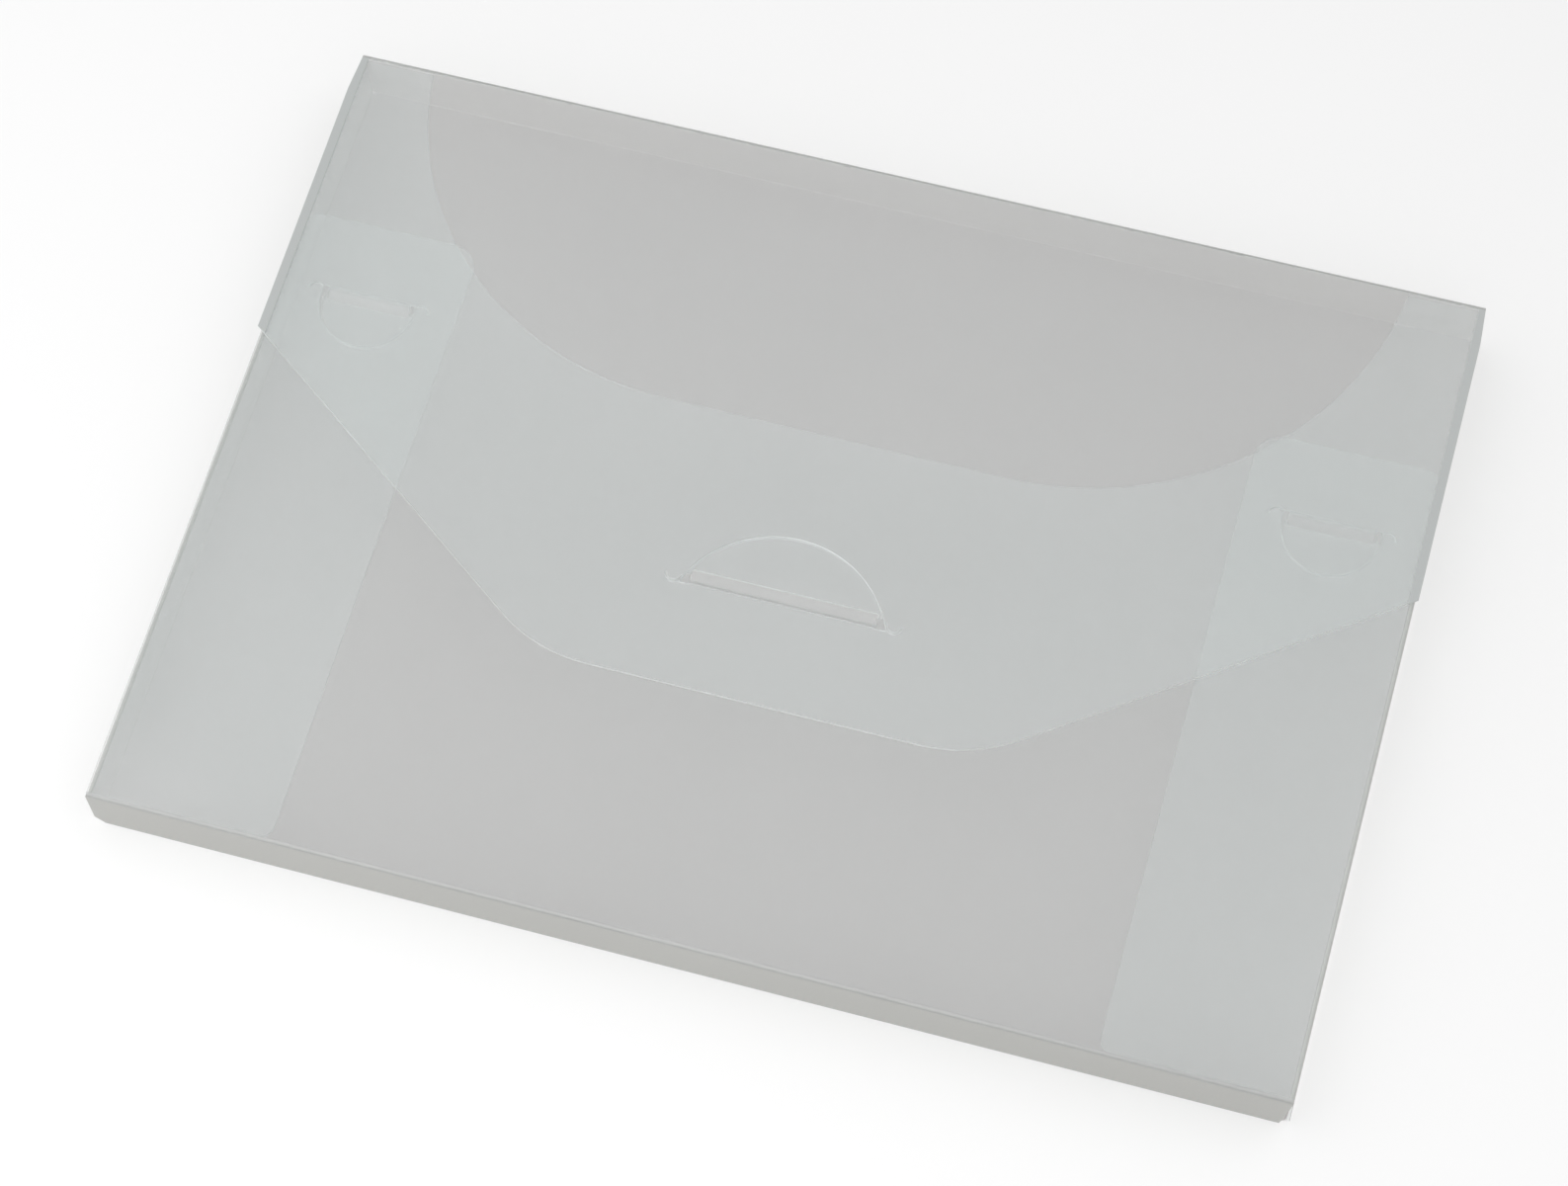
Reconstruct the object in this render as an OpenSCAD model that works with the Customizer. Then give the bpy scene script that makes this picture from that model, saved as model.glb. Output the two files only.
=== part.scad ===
// Flat carry case for A4 sheets, die-cut from one sheet of frosted plastic and folded into a tray.
// The case lies on its back: X is its width, Y runs from the bottom wall to the closure fold and
// Z is its depth. The origin is the centre of the back's outer face.

/* [Case] */
// Width of the tray, side wall to side wall
case_w = 330; // [320:1:480]
// Height of the tray, bottom wall to closure fold
case_h = 240; // [232:1:340]
// Depth of the closed case, back to closure flap
case_d = 20; // [18:1:40]
// Thickness of the sheet
sheet_t = 0.8; // [0.7:0.05:0.9]
// Air between a folded layer and the next one
layer_gap = 0.3; // [0.3:0.05:0.5]

/* [Creases] */
// Outer radius of a fold that stays folded
fold_r = 1.2; // [1:0.1:2]
// Thickness left in the scored line of such a fold
fold_web = 0.5; // [0.4:0.05:0.6]
// Radius of the round bead in the line of a living hinge
bead_r = 0.3; // [0.25:0.01:0.32]
// Thickness of the web beside that bead
hinge_web = 0.3; // [0.25:0.05:0.3]
// Length that the die leaves open at each lower corner of the back
corner_relief = 2.6; // [2:0.1:5]

/* [Closure flap] */
// How far each side of the flap stands out beyond the tray
flap_over = 0.8; // [0:0.1:2]
// Length of the taper between the fold and the flap's full width
flap_taper = 12; // [6:1:20]
// Reach of the flap below the closure fold
flap_drop = 168.6; // [150:0.1:180]
// Height of the flap's straight sides below the fold
flap_side = 93; // [70:1:100]
// Half the width of the flap's lower edge, measured to its sharp corners
flap_foot = 61; // [45:1:80]
// Radius of the flap's lower corners
flap_round = 45; // [20:1:50]

/* [Front panel] */
// Distance from the fold down to the flat of the front cut-out
notch_drop = 85; // [60:1:86]
// Half the length of that flat
notch_flat = 49; // [30:1:60]
// Radius of the cut-out's two round corners
notch_r = 95; // [88:1:96]

/* [Side flaps] */
// Width of a side flap, from the tray's side
side_flap_w = 52; // [46:1:60]
// Distance from the fold down to a side flap's upper edge
side_flap_drop = 53; // [45:1:60]
// Radius of a side flap's free upper corner
side_flap_round = 7; // [3:0.5:12]
// Radius of a side flap's other corners
side_flap_nick = 4; // [2:0.5:5]

/* [Closure lock] */
// Height of the lock's hinge line above the middle of the tray
lock_y = -17.5; // [-18:0.1:-17]
// Radius of the tongue's arc
lock_r = 30.7; // [28:0.1:34]
// Reach of the tongue from its hinge line
lock_reach = 19; // [16:0.5:21]
// Half the length of the slot that the tongue comes up through
lock_slot = 26.5; // [22:0.5:27]

/* [Side locks] */
// Distance of each side lock from the middle of the tray
side_lock_x = 138.5; // [137:0.5:140]
// Height of the side locks' hinge lines above the middle of the tray
side_lock_y = 44.3; // [42:0.1:46]
// Radius of a side tongue's arc
side_lock_r = 13.2; // [11:0.1:14]
// Reach of a side tongue from its hinge line
side_lock_reach = 15.3; // [12:0.1:16]
// Half the length of the slot that a side tongue goes through
side_lock_slot = 12; // [10:0.5:12]

/* [Hidden] */

$fn = 96;
bead_clear = 0.05;              // running clearance between a bead and the sheet that turns on it
lip = 0.25;                     // a turning sheet starts this far from its hinge line
hinge_room = 0.6;               // and the fixed sheet stops this far on the other side
end_gap = 0.3;                  // air between a panel's edge and the wall beside it
edge_gap = 0.5;                 // air between a lock's arc and the hole it was cut from
slot_room = 0.8;                // slot beyond the hinge line
slot_h = 4.1;                   // width of a lock's slot
hook_r = 2.4;                   // radius of the curl at each end of a lock's cut
cut_w = 0.4;                    // width of that curl's cut
far = 500;                      // longer than the case

pitch = sheet_t + layer_gap;    // from one folded layer to the next
half_w = case_w / 2;
half_h = case_h / 2;
flap_z = case_d - sheet_t;      // inner face of the closure flap
front_z = flap_z - pitch;       // inner face of the front panel
side_z = front_z - pitch;       // inner face of the side flaps
front_top = front_z + sheet_t;
side_top = side_z + sheet_t;
hinge_y = half_h - sheet_t / 2; // line of both closure hinges
lock_run = 2.6;                 // length over which a lock's tongue climbs to its outer layer
lock_rise = 2 * pitch;

// A straight-sided block between two corners
module block(low, high) {
    translate(low) cube(high - low);
}

// An upright sheet outline, laid at a height
module sheet(z) {
    translate([0, 0, z]) linear_extrude(sheet_t) children();
}

// A rectangle whose corners are rounded, with the radii in order from the lower left, anticlockwise
module round_rect(low, high, radii) {
    corners = [low, [high.x, low.y], high, [low.x, high.y]];
    inward = [[1, 1], [-1, 1], [-1, -1], [1, -1]];
    chamfers = [for (i = [0:3]) each
        let (across = [inward[i].x * radii[i], 0], up = [0, inward[i].y * radii[i]])
        i % 2 == 0 ? [corners[i] + up, corners[i] + across] : [corners[i] + across, corners[i] + up]];
    polygon(chamfers);
    for (i = [0:3])
        if (radii[i] > 0)
            translate(corners[i] + inward[i] * radii[i]) circle(radii[i]);
}

// A bar along X with a profile drawn in Y and Z
module along_x(x0, x1) {
    translate([x0, 0, 0]) rotate([90, 0, 90]) linear_extrude(x1 - x0) children();
}

// A bar along Y with a profile drawn in X and Z
module along_y(y0, y1) {
    translate([0, y1, 0]) rotate([90, 0, 0]) linear_extrude(y1 - y0) children();
}

// Cross-section of a fold that stays folded, its corner towards the lower left
module fold_profile() {
    intersection() {
        difference() {
            circle(fold_r);
            circle(fold_r - fold_web);
        }
        translate([-fold_r, -fold_r]) square(fold_r);
    }
}

// A living hinge on the X axis: a bead, and a web that runs to the fixed sheet in -Y
module bead(half_len) {
    rotate([0, 90, 0]) cylinder(r = bead_r, h = 2 * half_len, center = true);
    block([-half_len, -hinge_room, -hinge_web / 2], [half_len, 0, hinge_web / 2]);
}

// The space that a turning sheet leaves round its bead
module bead_groove(half_len) {
    rotate([0, 90, 0]) cylinder(r = bead_r + bead_clear, h = 2 * half_len + 2, center = true);
}

// Outline of a lock's tongue, from its hinge line to its arc
module half_moon(r, reach, grow = 0) {
    intersection() {
        translate([0, reach - r]) circle(r + grow);
        translate([-far / 2, -hinge_room]) square(far);
    }
}

// The cut that frees a tongue: its half moon, and a curl at each end that stops a tear
module lock_cut(r, reach) {
    half_moon(r, reach, edge_gap);
    end_x = sqrt(pow(r + edge_gap, 2) - pow(reach - r + hinge_room, 2));
    for (side = [-1, 1])
        translate([side * (end_x + hook_r - cut_w), hook_r - hinge_room - cut_w])
            intersection() {
                difference() {
                    circle(hook_r);
                    circle(hook_r - cut_w);
                }
                translate([-far / 2, -far]) square([far, far]);
            }
}

// The slot that a tongue goes through
module lock_slot_outline(half_len) {
    round_rect([-half_len, -slot_room], [half_len, slot_h - slot_room], [1, 1, 1, 1]);
}

// A tongue that climbs from its own sheet through the next one and lies on the far side of it
module lock_tongue(r, reach, slot_half) {
    slope = atan2(lock_rise, lock_run);
    bend = sheet_t / 2 * tan(slope / 2);
    start = [lip * cos(slope), lip * sin(slope)];
    across = [-sin(slope), cos(slope)] * sheet_t / 2;
    upper = [lock_run - bend, lock_rise + sheet_t / 2];
    lower = [lock_run + bend, lock_rise - sheet_t / 2];
    neck = slot_half - layer_gap;
    difference() {
        intersection() {
            along_x(-far / 2, far / 2)
                polygon([start - across, lower, [far, lower.y], [far, upper.y], upper, start + across]);
            translate([0, 0, -far / 2]) linear_extrude(far) half_moon(r, reach);
        }
        bead_groove(r);
        for (side = [-1, 1])
            translate([side * (neck + r), 0, lower.y - far / 2])
                cube([2 * r, far, far], center = true);
    }
}

// Puts a lock's parts on the front panel's middle layer; a side lock points down and inwards
module at_closure_lock() {
    translate([0, lock_y, front_z + sheet_t / 2]) children();
}

module at_side_lock(side) {
    translate([side * side_lock_x, side_lock_y, front_z + sheet_t / 2]) rotate([180, 0, 0]) children();
}

module back_panel() {
    low = [-half_w + fold_r, -half_h + fold_r];
    high = [half_w - fold_r, hinge_y - hinge_room];
    color("gainsboro") sheet(0) round_rect(low, high, [1, 1, 1, 1] * 0.6);
}

module bottom_wall() {
    top = front_top - fold_r;
    relief = corner_relief;
    color("darkgray")
        translate([0, -half_h + sheet_t, 0]) rotate([90, 0, 0]) linear_extrude(sheet_t)
            polygon([
                [-half_w + relief, fold_r], [half_w - relief, fold_r], [half_w, fold_r + relief],
                [half_w, top], [-half_w, top], [-half_w, fold_r + relief]
            ]);
}

module front_panel() {
    edge_x = half_w - end_gap;
    notch_y = half_h - notch_drop;
    top = half_h - sheet_t - end_gap;
    color("lightgray") sheet(front_z) difference() {
        round_rect([-edge_x, -half_h + fold_r], [edge_x, top], [0, 0, 2, 2]);
        for (side = [-1, 1])
            translate([side * notch_flat, notch_y + notch_r]) circle(notch_r, $fn = 240);
        translate([-notch_flat, notch_y]) square([2 * notch_flat, far]);
        translate([0, lock_y]) lock_cut(lock_r, lock_reach);
        for (side = [-1, 1])
            translate([side * side_lock_x, side_lock_y]) mirror([0, 1])
                lock_cut(side_lock_r, side_lock_reach);
    }
}

module top_wall() {
    color("silver") difference() {
        block([-half_w, half_h - sheet_t, sheet_t / 2 + lip],
            [half_w, half_h, case_d - sheet_t / 2 - hinge_room]);
        translate([0, hinge_y, sheet_t / 2]) bead_groove(half_w);
    }
}

// Outline of the closure flap: sides that taper to the fold, and slants to a lower edge with round corners
module flap_outline() {
    wide = half_w + flap_over;
    side_y = half_h - flap_side;
    foot_y = half_h - flap_drop;
    slope = atan2(side_y - foot_y, wide - flap_foot);
    tangent = flap_round * tan(slope / 2);
    right = [
        [flap_foot - tangent, foot_y],
        [flap_foot + tangent * cos(slope), foot_y + tangent * sin(slope)],
        [wide, side_y], [wide, half_h - flap_taper], [half_w, hinge_y - lip]
    ];
    left = [for (i = [len(right) - 1:-1:0]) [-right[i].x, right[i].y]];
    polygon(concat(right, left));
    for (side = [-1, 1])
        translate([side * (flap_foot - tangent), foot_y + flap_round]) circle(flap_round, $fn = 240);
}

module closure_flap() {
    color("whitesmoke") difference() {
        sheet(flap_z) difference() {
            flap_outline();
            translate([0, lock_y]) lock_slot_outline(lock_slot);
        }
        translate([0, hinge_y, case_d - sheet_t / 2]) bead_groove(half_w);
    }
}

// The right side's parts; the left ones are their mirror images
module side_wall() {
    inset = sheet_t + end_gap;
    color("lightgray")
        block([half_w - sheet_t, -half_h + inset, fold_r], [half_w, half_h - inset, side_top - fold_r]);
}

module side_flap() {
    low = [half_w - side_flap_w, -half_h + fold_r + 0.1];
    high = [half_w - fold_r, half_h - side_flap_drop];
    nick = side_flap_nick;
    color("ghostwhite") sheet(side_z) difference() {
        round_rect(low, high, [nick, 0, nick, side_flap_round]);
        translate([side_lock_x, side_lock_y]) mirror([0, 1]) lock_slot_outline(side_lock_slot + layer_gap);
    }
}

module back_side_crease() {
    inset = sheet_t + end_gap;
    color("silver") translate([half_w - fold_r, 0, fold_r])
        along_y(-half_h + inset + corner_relief, half_h - inset) mirror([1, 0]) fold_profile();
}

module side_flap_crease() {
    inset = sheet_t + end_gap;
    color("silver") translate([half_w - fold_r, 0, side_top - fold_r])
        along_y(-half_h + inset, half_h - side_flap_drop - side_flap_nick)
            mirror([1, 0]) mirror([0, 1]) fold_profile();
}

module back_bottom_crease() {
    long = half_w - corner_relief;
    color("silver") translate([0, -half_h + fold_r, fold_r]) along_x(-long, long) fold_profile();
}

module front_bottom_crease() {
    long = half_w - end_gap;
    color("silver") translate([0, -half_h + fold_r, front_top - fold_r])
        along_x(-long, long) mirror([0, 1]) fold_profile();
}

module back_top_crease() {
    color("silver") translate([0, hinge_y, sheet_t / 2]) bead(half_w - fold_r);
}

module closure_crease() {
    color("silver") translate([0, hinge_y, case_d - sheet_t / 2]) rotate([90, 0, 0]) bead(half_w);
}

module closure_tongue() {
    color("white") at_closure_lock() lock_tongue(lock_r, lock_reach, lock_slot);
}

module side_lock_tongue(side) {
    color("white") at_side_lock(side)
        lock_tongue(side_lock_r, side_lock_reach, side_lock_slot + layer_gap);
}

module closure_tongue_crease() {
    color("silver") at_closure_lock() bead(lock_slot - layer_gap);
}

module side_lock_crease(side) {
    color("silver") at_side_lock(side) bead(side_lock_slot);
}

back_panel();
bottom_wall();
front_panel();
top_wall();
closure_flap();
side_wall();  // right_side_wall
mirror([1, 0, 0]) side_wall();  // left_side_wall
side_flap();  // right_side_flap
mirror([1, 0, 0]) side_flap();  // left_side_flap
closure_tongue();
side_lock_tongue(-1);  // left_lock_tongue
side_lock_tongue(1);  // right_lock_tongue
back_bottom_crease();
front_bottom_crease();
back_side_crease();  // back_right_crease
mirror([1, 0, 0]) back_side_crease();  // back_left_crease
side_flap_crease();  // right_flap_crease
mirror([1, 0, 0]) side_flap_crease();  // left_flap_crease
back_top_crease();
closure_crease();
closure_tongue_crease();
side_lock_crease(-1);  // left_lock_crease
side_lock_crease(1);  // right_lock_crease
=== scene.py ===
"""Looks of a folded carry case of frosted plastic sheet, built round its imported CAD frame. Metres, +Z up."""

import math

import bmesh
import bpy
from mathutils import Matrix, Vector


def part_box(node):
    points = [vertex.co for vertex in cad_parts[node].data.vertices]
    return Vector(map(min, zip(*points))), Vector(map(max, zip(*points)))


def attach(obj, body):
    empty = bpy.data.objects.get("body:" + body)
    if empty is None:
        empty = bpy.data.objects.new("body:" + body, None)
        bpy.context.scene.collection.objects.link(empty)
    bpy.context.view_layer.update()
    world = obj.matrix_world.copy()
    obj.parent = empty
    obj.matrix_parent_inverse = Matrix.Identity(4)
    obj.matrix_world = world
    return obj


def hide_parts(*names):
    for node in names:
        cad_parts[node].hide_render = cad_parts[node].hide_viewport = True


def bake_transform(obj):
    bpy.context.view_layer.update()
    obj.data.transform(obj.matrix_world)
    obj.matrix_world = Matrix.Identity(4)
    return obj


MM = 0.001

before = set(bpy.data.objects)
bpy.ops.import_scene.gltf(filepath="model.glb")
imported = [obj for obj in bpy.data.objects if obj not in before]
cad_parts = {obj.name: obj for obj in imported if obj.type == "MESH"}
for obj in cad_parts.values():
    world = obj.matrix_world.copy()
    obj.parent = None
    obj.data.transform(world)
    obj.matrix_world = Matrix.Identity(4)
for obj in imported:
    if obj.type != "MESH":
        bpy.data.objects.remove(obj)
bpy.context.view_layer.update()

# ---------------------------------------------------------------- places, all read from the frame

TOP_WALL_LOW, TOP_WALL_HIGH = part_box("top_wall")
BOTTOM_WALL_LOW, BOTTOM_WALL_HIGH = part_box("bottom_wall")
HALF_W = TOP_WALL_HIGH[0]
HALF_H = TOP_WALL_HIGH[1]
CASE_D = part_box("closure_flap")[1][2]
INSIDE = (0, 0, CASE_D / 2)  # the middle of the hollow
CREASES = [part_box(name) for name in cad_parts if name.endswith("crease")]
CLOSURE_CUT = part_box("closure_tongue")
SIDE_CUTS = [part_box("left_lock_tongue"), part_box("right_lock_tongue")]

# ---------------------------------------------------------------- camera

# fitted to the outline of the closed case: a long lens, 25 degrees off the front's normal and rolled
CAMERA_AT = Vector((165.7, -476.4, 1054.5)) * MM
CAMERA_TURN = (25.293, 1.897, 15.774)  # degrees
LENS = 96.9
SENSOR = 36.0
CLIP_NEAR, CLIP_FAR = 0.05, 50


def add_camera():
    data = bpy.data.cameras.new("camera")
    data.lens = LENS
    data.sensor_width = SENSOR
    data.sensor_fit = "HORIZONTAL"
    data.clip_start = CLIP_NEAR
    data.clip_end = CLIP_FAR
    camera = bpy.data.objects.new("camera", data)
    camera.location = CAMERA_AT
    camera.rotation_euler = [math.radians(a) for a in CAMERA_TURN]
    bpy.context.collection.objects.link(camera)
    bpy.context.scene.camera = camera


# ---------------------------------------------------------------- materials

# how light each kind of surface is
SHEET_TONE = (0.732, 0.773, 0.766)
# painted highlight on the front's bent lower left corner
CORNER_HIGHLIGHT_TONE = (0.96, 0.97, 0.97)
# painted shade: the back is darker than the sheet, for the little light that reaches the inside of the case
# and the floor under it
BACK_SHADE_TONE = (0.652, 0.630, 0.628)
# painted shade: the top wall's inner face is darkened, for the shade inside the closed case
TOP_LINING_SHADE_TONE = (0.628, 0.606, 0.604)
# painted light: the side walls' inner faces are lightened, for the light that comes in through the walls
SIDE_LINING_PAINTED_LIGHT_TONE = (0.900, 0.890, 0.885)
# painted shade: the walls are the same sheet painted much darker, for faces turned away from the light
WALL_SHADE_TONE = (0.402, 0.404, 0.384)
# painted highlight: cut edges are lighter, for light that the sheet carries out through its edges
EDGE_HIGHLIGHT_TONE = (0.84, 0.86, 0.86)
SLIT_TONE = (0.72, 0.74, 0.74)
OVERHANG_TONE = (0.505, 0.525, 0.52)
FOLD_TONE = (0.60, 0.61, 0.605)
TOP_FOLD_TONE = (0.725, 0.735, 0.73)
TONGUE_FOLD_TONE = (0.54, 0.55, 0.545)
# painted shade and painted highlight: the same side fold, painted darker on the left of the case and lighter
# on the right
LEFT_FOLD_SHADE_TONE = (0.475, 0.477, 0.457)
RIGHT_FOLD_HIGHLIGHT_TONE = (0.570, 0.572, 0.550)

# the share of the light that goes straight through one face, and of the rest the share that goes on scattered
SHEET_LIGHT = (0.79, 0.53)
WALL_LIGHT = (0.05, 0.20)
SIDE_LINING_LIGHT = (0.02, 0.0)
EDGE_LIGHT = (0.30, 0.30)
SLIT_LIGHT = (0.35, 0.05)
OVERHANG_LIGHT = (0.02, 0.10)
FOLD_LIGHT = (0.55, 0.50)

PLASTIC_IOR = 1.49
STEEPEST = 0.15  # a face seen more edge on than this passes no less light
CLOUD = 14.0  # slow unevenness of the frosting, cycles a metre
GRAIN = 1500.0  # sand grain of the frosted face, cycles a metre
GRAIN_DEPTH = 0.05 * MM
GRAIN_STRENGTH = 0.25
PIT_SHARE = 0.6  # how deep the pits between the grains are, against the grains
ROUGH_RANGE = 0.12  # how much the roughness changes from grain to grain
CORNER_HIGHLIGHT_AT = Vector((-HALF_W, -HALF_H, CASE_D))  # a painted highlight lightens the bent lower left corner
CORNER_HIGHLIGHT_REACH = Vector((36, 20, 20)) * MM

FLOOR_CLOUD = 3.0  # cycles a metre
FLOOR_DARK, FLOOR_LIGHT = 0.945, 0.955
FLOOR_ROUGH = 0.9

MIX_A, MIX_B, MIX_COLOUR = 6, 7, 2  # a colour Mix node's two inputs and its output


class Nodes:
    """Adds and joins a material's nodes."""

    def __init__(self, name):
        self.material = bpy.data.materials.new(name)
        self.material.use_nodes = True
        self.tree = self.material.node_tree
        self.tree.nodes.clear()

    def add(self, kind, settings=None, **inputs):
        """A new node. Inputs go by name, or as i0, i1, ... by number."""
        node = self.tree.nodes.new(kind)
        for key, value in (settings or {}).items():
            setattr(node, key, value)
        for key, value in inputs.items():
            self.feed(node, key.replace("_", " "), value)
        return node

    def feed(self, node, key, value):
        by_number = key[0] == "i" and key[1:].isdigit()
        socket = node.inputs[int(key[1:]) if by_number else key]
        if isinstance(value, bpy.types.NodeSocket):
            self.tree.links.new(value, socket)
        else:
            socket.default_value = value

    def math(self, operation, a, b=0.0, clamp=False):
        return self.add("ShaderNodeMath", {"operation": operation, "use_clamp": clamp}, i0=a, i1=b).outputs[0]

    def vector(self, operation, a, b=(0, 0, 0)):
        return self.add("ShaderNodeVectorMath", {"operation": operation}, i0=a, i1=b)

    def noise(self, where, scale, detail, roughness=0.5):
        node = self.add("ShaderNodeTexNoise", Vector=where, Scale=scale, Detail=detail, Roughness=roughness)
        return node.outputs["Fac"]

    def mix(self, share, low, high):
        """A colour between two others, each an RGB triple or a socket."""
        node = self.add("ShaderNodeMix", {"data_type": "RGBA"}, Factor=share)
        for place, tone in ((MIX_A, low), (MIX_B, high)):
            self.feed(node, f"i{place}", tone if isinstance(tone, bpy.types.NodeSocket) else (*tone, 1.0))
        return node.outputs[MIX_COLOUR]

    def finish(self, shader):
        out = self.add("ShaderNodeOutputMaterial")
        self.tree.links.new(shader.outputs[0], out.inputs["Surface"])
        return self.material


def scaled(tone, factor):
    return [c * factor for c in tone]


def frosted(name, tone, light, rough=0.34, grain=1.0, spread=0.02, corner_highlight=False):
    """Frosted sheet: each face lets part of the light straight through, less so seen edge on, and passes or
    reflects the rest scattered. The surface has a sand grain, and the frosting slow clouds."""
    clear, scattered = light
    n = Nodes(name)
    where = n.add("ShaderNodeTexCoord").outputs["Object"]
    clouds = n.noise(where, CLOUD, 3.0)
    sand = n.noise(where, GRAIN, 2.0, 0.6)
    pits = n.add("ShaderNodeTexVoronoi", Vector=where, Scale=GRAIN / 2).outputs["Distance"]
    colour = n.mix(clouds, scaled(tone, 1 - spread), scaled(tone, 1 + spread))
    # painted highlight: lighter towards the front's bent lower left corner
    if corner_highlight:
        away = n.vector("DIVIDE", n.vector("SUBTRACT", where, CORNER_HIGHLIGHT_AT).outputs[0], CORNER_HIGHLIGHT_REACH)
        away = n.vector("LENGTH", away.outputs[0]).outputs["Value"]
        fade = n.math("EXPONENT", n.math("MULTIPLY", n.math("MULTIPLY", away, away), -1.0))
        colour = n.mix(fade, colour, CORNER_HIGHLIGHT_TONE)
    roughness = n.math("MULTIPLY_ADD", sand, ROUGH_RANGE)
    roughness.node.inputs[2].default_value = rough - ROUGH_RANGE / 2
    height = n.math("ADD", sand, n.math("MULTIPLY", pits, PIT_SHARE))
    bump = n.add("ShaderNodeBump", Strength=GRAIN_STRENGTH * grain, Distance=GRAIN_DEPTH, Height=height)
    facing = n.add("ShaderNodeLayerWeight", Blend=0.5).outputs["Facing"]
    slant = n.math("MAXIMUM", n.math("SUBTRACT", 1.0, facing), STEEPEST)
    through = n.math("POWER", clear, n.math("DIVIDE", 1.0, slant))
    return n.finish(n.add(
        "ShaderNodeBsdfPrincipled",
        Base_Color=colour, Roughness=roughness, IOR=PLASTIC_IOR, Normal=bump.outputs[0],
        Alpha=n.math("SUBTRACT", 1.0, through, clamp=True), Transmission_Weight=scattered,
    ))


def floor_paint():
    n = Nodes("studio_floor")
    where = n.add("ShaderNodeTexCoord").outputs["Object"]
    tone = n.mix(n.noise(where, FLOOR_CLOUD, 2.0), [FLOOR_DARK] * 3, [FLOOR_LIGHT] * 3)
    return n.finish(n.add("ShaderNodeBsdfPrincipled", Base_Color=tone, Roughness=FLOOR_ROUGH))


SHEET = frosted("frosted_sheet", SHEET_TONE, SHEET_LIGHT)
FRONT = frosted("frosted_front", SHEET_TONE, SHEET_LIGHT, corner_highlight=True)
BACK_SHADE = frosted("frosted_back_painted_shade", BACK_SHADE_TONE, WALL_LIGHT)
WALL_SHADE = frosted("frosted_wall_painted_shade", WALL_SHADE_TONE, WALL_LIGHT)
SIDE_LINING_PAINTED_LIGHT = frosted("frosted_side_inside_painted_light", SIDE_LINING_PAINTED_LIGHT_TONE, SIDE_LINING_LIGHT)
TOP_LINING_SHADE = frosted("frosted_top_inside_painted_shade", TOP_LINING_SHADE_TONE, WALL_LIGHT)
EDGE_HIGHLIGHT = frosted("cut_edge_painted_highlight", EDGE_HIGHLIGHT_TONE, EDGE_LIGHT, rough=0.30, grain=0.5)
OVERHANG = frosted("flap_overhang", OVERHANG_TONE, OVERHANG_LIGHT)
SLIT = frosted("cut_slit", SLIT_TONE, SLIT_LIGHT, rough=0.30, grain=0.5)
FOLD = frosted("stress_white_fold", FOLD_TONE, FOLD_LIGHT, rough=0.36, grain=1.4, spread=0.06)
TOP_FOLD = frosted(
    "stress_white_top_fold", TOP_FOLD_TONE, FOLD_LIGHT, rough=0.36, grain=1.4, spread=0.06
)
TONGUE_FOLD = frosted("tongue_fold", TONGUE_FOLD_TONE, FOLD_LIGHT)
LEFT_FOLD_SHADE = frosted("left_fold_painted_shade", LEFT_FOLD_SHADE_TONE, WALL_LIGHT)
RIGHT_FOLD_HIGHLIGHT = frosted("right_fold_painted_highlight", RIGHT_FOLD_HIGHLIGHT_TONE, WALL_LIGHT)

CREASE_MATERIALS = {
    "back_left_crease": BACK_SHADE,
    "back_right_crease": BACK_SHADE,
    "back_bottom_crease": FOLD,
    "front_bottom_crease": FOLD,
    "left_flap_crease": LEFT_FOLD_SHADE,
    "right_flap_crease": RIGHT_FOLD_HIGHLIGHT,
    "closure_tongue_crease": TONGUE_FOLD,
    "left_lock_crease": SHEET,
    "right_lock_crease": SHEET,
}

# ---------------------------------------------------------------- meshes

# what a panel's faces take their materials from: its outer face, cut edges, inner face and picked-out faces
OUTER, CUT, INNER, PICKED = range(4)

SAME = 1e-7  # points closer than this are one
WELD = 1e-6
NEARLY_FLAT = math.radians(1)
SHARP_RIM = math.radians(60)
SHARP_SHADING = math.radians(20)
BEVEL = 0.11 * MM  # along every cut edge
CELL = 9.0 * MM  # spacing of the cross cuts that let a panel bend
SAG = 0.55 * MM  # how far the empty case's front sinks in its middle
PILLOW = 0.5 * MM  # how far the front panel swells beside its bottom fold
PILLOW_LENGTH = 14 * MM  # and how far from the fold that is highest
PILLOW_MEAN, PILLOW_LEAN = 0.65, 0.35  # the swelling in the middle, and what it gains to the left
LEAN = 2.4 * MM  # how far the bottom wall's right end leans in at the back
LEAN_LENGTH = 2.6 * MM  # and the length of wall that does
OVERHANG_START = HALF_W - 1.8 * MM  # the flap's darker strip over the sides starts here
FOLD_REACH = 0.5 * MM  # a panel's edge this close to a crease is folded, not cut
LOCK_REACH = 8 * MM  # a cut this close to a lock tongue is one of those that free it
FLAT = 0.6  # a face whose normal has less than this along the sheet's normal is a cut edge
FLAT_AT_SLIT = 0.74  # the same for the closure lock's cuts, whose bevels shine
UPWARD = 0.3  # the faces at the flap's slot that point up the case more than this are its lower edge
FOLD_OUTER = 1.0 * MM  # outer radius of a fold that moves
FOLD_INNER = 0.35 * MM
FOLD_LINE = HALF_H - FOLD_OUTER  # where both such folds start to bend
FOLD_STEPS, FOLD_SPANS = 14, 48
BACK_FOLD_END = 1.2 * MM  # the back's fold stops this far from the sides
TOP_WALL_FOOT = 0.35 * MM  # what the top wall gives up to the back's fold


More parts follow.
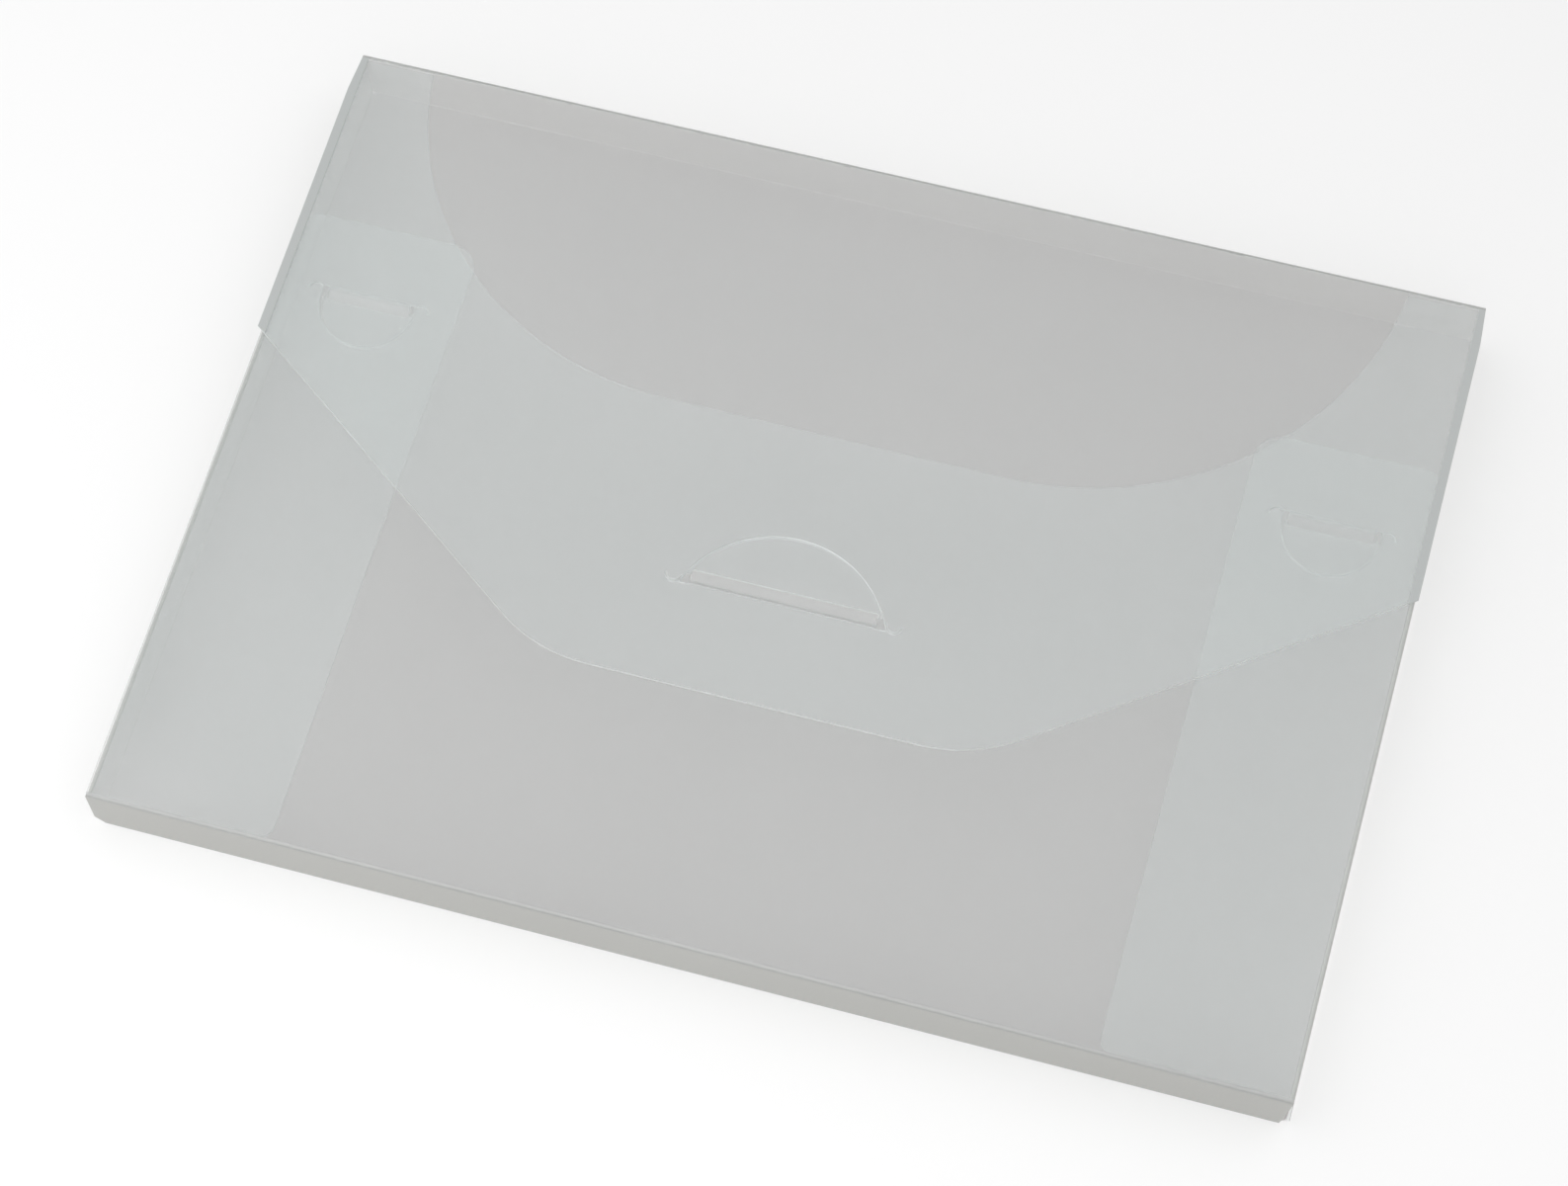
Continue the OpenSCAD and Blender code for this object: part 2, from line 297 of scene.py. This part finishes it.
def front_sag(p):
    """How far the front and what lies on it sink, none at the folds all round."""
    across = math.cos(math.pi / 2 * min(abs(p.x) / HALF_W, 1))
    along = math.cos(math.pi / 2 * min(abs(p.y) / HALF_H, 1))
    return Vector((0, 0, -SAG * across * along))


def front_pillow(p):
    """The front panel also swells a little beside its bottom fold, most of all at the left corner."""
    rise = (p.y + HALF_H) / PILLOW_LENGTH
    swell = rise * math.exp(1 - rise) * (PILLOW_MEAN - PILLOW_LEAN * p.x / HALF_W)
    return front_sag(p) + Vector((0, 0, PILLOW * swell))


def end_lean(p):
    """The bottom wall's right end leans in towards the back."""
    out = max(p.x - HALF_W + LEAN_LENGTH, 0) / LEAN_LENGTH
    down = (BOTTOM_WALL_HIGH[2] - p.z) / (BOTTOM_WALL_HIGH[2] - BOTTOM_WALL_LOW[2])
    return Vector((-LEAN * out * down, 0, 0))


def cut_across(bm, point, normal, clear=False):
    """Cuts the mesh along a plane, and with clear drops what lies on the normal's side."""
    whole = bm.verts[:] + bm.edges[:] + bm.faces[:]
    return bmesh.ops.bisect_plane(
        bm, geom=whole, dist=SAME, plane_co=point, plane_no=normal, clear_outer=clear
    )


def cut_grid(bm):
    """Cuts the mesh across, every CELL, so that it can bend."""
    for axis in (0, 1):
        values = [v.co[axis] for v in bm.verts]
        low, high = min(values), max(values)
        count = int((high - low) / CELL)
        normal = Vector([float(i == axis) for i in range(3)])
        for step in range(1, count):
            cut_across(bm, normal * (low + (high - low) * step / count), normal)


def trim(bm, point, normal):
    """Cuts off what lies on the normal's side of a plane, and closes the cut."""
    made = cut_across(bm, Vector(point), Vector(normal), clear=True)
    rim = [e for e in made["geom_cut"] if isinstance(e, bmesh.types.BMEdge)]
    bmesh.ops.holes_fill(bm, edges=rim)


def near(p, box, reach, axes):
    """True if a point is in a box that has grown by reach, along these axes."""
    low, high = box
    return all(low[i] - reach < p[i] < high[i] + reach for i in axes)


def face_kind(face, node, axis):
    """Which of a panel's materials a face takes."""
    middle = face.calc_center_median()
    if node == "closure_flap" and abs(middle.x) > OVERHANG_START:
        return PICKED
    at_lock = near(middle, CLOSURE_CUT, LOCK_REACH, (0, 1))
    slit = node == "front_panel" and at_lock
    plain = (
        node == "closure_flap" and at_lock and face.normal.y > UPWARD
        or node == "front_panel" and any(near(middle, box, LOCK_REACH, (0, 1)) for box in SIDE_CUTS)
        or any(near(middle, box, FOLD_REACH, (0, 1, 2)) for box in CREASES)
    )
    if plain or abs(face.normal[axis]) > (FLAT_AT_SLIT if slit else FLAT):
        return INNER if face.normal[axis] * (INSIDE[axis] - middle[axis]) > 0 else OUTER
    return PICKED if slit else CUT


def finish_piece(name, bm, materials, replaced, body=None, casts_shadow=False):
    bmesh.ops.recalc_face_normals(bm, faces=bm.faces[:])
    mesh = bpy.data.meshes.new(name)
    bm.to_mesh(mesh)
    bm.free()
    for material in materials:
        mesh.materials.append(material)
    mesh.polygons.foreach_set("use_smooth", [True] * len(mesh.polygons))
    mesh.set_sharp_from_angle(angle=SHARP_SHADING)
    piece = bpy.data.objects.new(name, mesh)
    bpy.context.collection.objects.link(piece)
    piece.visible_shadow = casts_shadow
    if body:
        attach(piece, body)
    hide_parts(replaced)
    return piece


def sheet_piece(node, body, materials, axis=2, bend=None, cut_off=None, casts_shadow=False):
    """A panel of the sheet: the CAD node's outline with bevelled cut edges, bent as the real sheet is.
    axis is the direction of the sheet's normal where it lies flat."""
    bm = bmesh.new()
    bm.from_mesh(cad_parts[node].data)
    bmesh.ops.remove_doubles(bm, verts=bm.verts[:], dist=WELD)
    if cut_off:
        trim(bm, *cut_off)
    bmesh.ops.dissolve_limit(bm, angle_limit=NEARLY_FLAT, verts=bm.verts[:], edges=bm.edges[:])
    rim = [e for e in bm.edges if len(e.link_faces) == 2 and e.calc_face_angle() > SHARP_RIM]
    bmesh.ops.bevel(bm, geom=rim, offset=BEVEL, segments=1, profile=0.5, affect="EDGES", clamp_overlap=False)
    if bend:
        cut_grid(bm)
    if node == "closure_flap":
        for side in (-1, 1):
            cut_across(bm, Vector((side * OVERHANG_START, 0, 0)), Vector((1, 0, 0)))
    bm.normal_update()
    for face in bm.faces:
        face.material_index = face_kind(face, node, axis)
    if bend:
        for v in bm.verts:
            v.co += bend(v.co)
    return finish_piece(f"{node}_sheet", bm, materials, node, body, casts_shadow)


def swept_fold(name, centre_z, start_turn, half_length, material, replaced):
    """A living hinge along X: a quarter-round strip that bends between two bodies."""
    bm = bmesh.new()
    rings = []
    forward = range(FOLD_STEPS + 1)
    for i in range(FOLD_SPANS + 1):
        x = half_length * (2 * i / FOLD_SPANS - 1)
        ring = []
        for radius, turns in ((FOLD_OUTER, forward), (FOLD_INNER, reversed(forward))):
            for k in turns:
                a = math.radians(start_turn + 90 * k / FOLD_STEPS)
                y, z = FOLD_LINE + radius * math.cos(a), centre_z + radius * math.sin(a)
                ring.append(bm.verts.new((x, y, z)))
        rings.append(ring)
    for left, right in zip(rings, rings[1:]):
        for k in range(len(left)):
            after = (k + 1) % len(left)
            bm.faces.new((left[k], left[after], right[after], right[k]))
    bm.faces.new(rings[0])
    bm.faces.new(rings[-1][::-1])
    return finish_piece(name, bm, [material], replaced)


# ---------------------------------------------------------------- the case

def build_panels():
    sheet_piece("back_panel", "tray", [BACK_SHADE, EDGE_HIGHLIGHT, BACK_SHADE], casts_shadow=True)
    sheet_piece("bottom_wall", "tray", [WALL_SHADE, EDGE_HIGHLIGHT, BACK_SHADE], axis=1, bend=end_lean)
    sheet_piece("front_panel", "tray", [FRONT, FRONT, SHEET, SLIT], bend=front_pillow)
    for side in ("left", "right"):
        sheet_piece(f"{side}_side_wall", "tray", [WALL_SHADE, EDGE_HIGHLIGHT, SIDE_LINING_PAINTED_LIGHT], axis=0)
        sheet_piece(f"{side}_side_flap", "tray", [SHEET] * 3, bend=front_sag)
        sheet_piece(f"{side}_lock_tongue", f"{side}_lock", [SHEET] * 3, bend=front_sag)
    sheet_piece("closure_tongue", "closure_tongue", [SHEET, EDGE_HIGHLIGHT, SHEET], bend=front_sag)
    below_foot = ((0, 0, TOP_WALL_LOW[2] + TOP_WALL_FOOT), (0, 0, -1))
    sheet_piece("top_wall", "top_wall", [WALL_SHADE, EDGE_HIGHLIGHT, TOP_LINING_SHADE], axis=1, cut_off=below_foot)
    past_fold = ((0, FOLD_LINE, 0), (0, 1, 0))
    flap_looks = [SHEET, EDGE_HIGHLIGHT, SHEET, OVERHANG]
    sheet_piece("closure_flap", "closure_flap", flap_looks, bend=front_sag, cut_off=past_fold)


def build_folds():
    """The two folds that move, each swept as a quarter-round strip, and the looks of the others."""
    back_fold = swept_fold("back_top_fold", FOLD_OUTER, -90, HALF_W - BACK_FOLD_END, BACK_SHADE, "back_top_crease")
    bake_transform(back_fold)
    flap_fold = swept_fold("closure_fold", CASE_D - FOLD_OUTER, 0, HALF_W, TOP_FOLD, "closure_crease")
    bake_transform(flap_fold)
    for node, material in CREASE_MATERIALS.items():
        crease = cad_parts[node]
        crease.data.materials.clear()
        crease.data.materials.append(material)
        crease.visible_shadow = False


# ---------------------------------------------------------------- studio

FLOOR_SIZE = 8
KEY = {"at": (-0.65, -1.1, 1.15), "size": (1.4, 1.2), "power": 18}
FILL = {"at": (1.1, 0.8, 1.4), "size": (1.6, 1.6), "power": 4}
SKY_STRENGTH = 0.62
TRANSPARENT_BOUNCES = 32  # enough for every layer's two faces


def add_floor():
    bpy.ops.mesh.primitive_plane_add(size=FLOOR_SIZE)
    floor = bpy.context.object
    floor.name = "floor"
    floor.data.materials.append(floor_paint())


def add_light(name, at, size, power):
    """A soft light aimed at the middle of the case."""
    data = bpy.data.lights.new(name, "AREA")
    data.shape = "RECTANGLE"
    data.size, data.size_y = size
    data.energy = power
    lamp = bpy.data.objects.new(name, data)
    lamp.location = at
    lamp.rotation_mode = "QUATERNION"
    lamp.rotation_quaternion = (-Vector(at)).to_track_quat("-Z", "Y")
    bpy.context.collection.objects.link(lamp)


def add_studio():
    add_floor()
    add_light("key", **KEY)
    add_light("fill", **FILL)
    world = bpy.data.worlds.new("studio")
    world.use_nodes = True
    sky = world.node_tree.nodes["Background"]
    sky.inputs["Color"].default_value = (1, 1, 1, 1)
    sky.inputs["Strength"].default_value = SKY_STRENGTH
    scene = bpy.context.scene
    scene.world = world
    scene.view_settings.view_transform = "Standard"
    scene.cycles.transparent_max_bounces = TRANSPARENT_BOUNCES


add_camera()
build_panels()
build_folds()
add_studio()
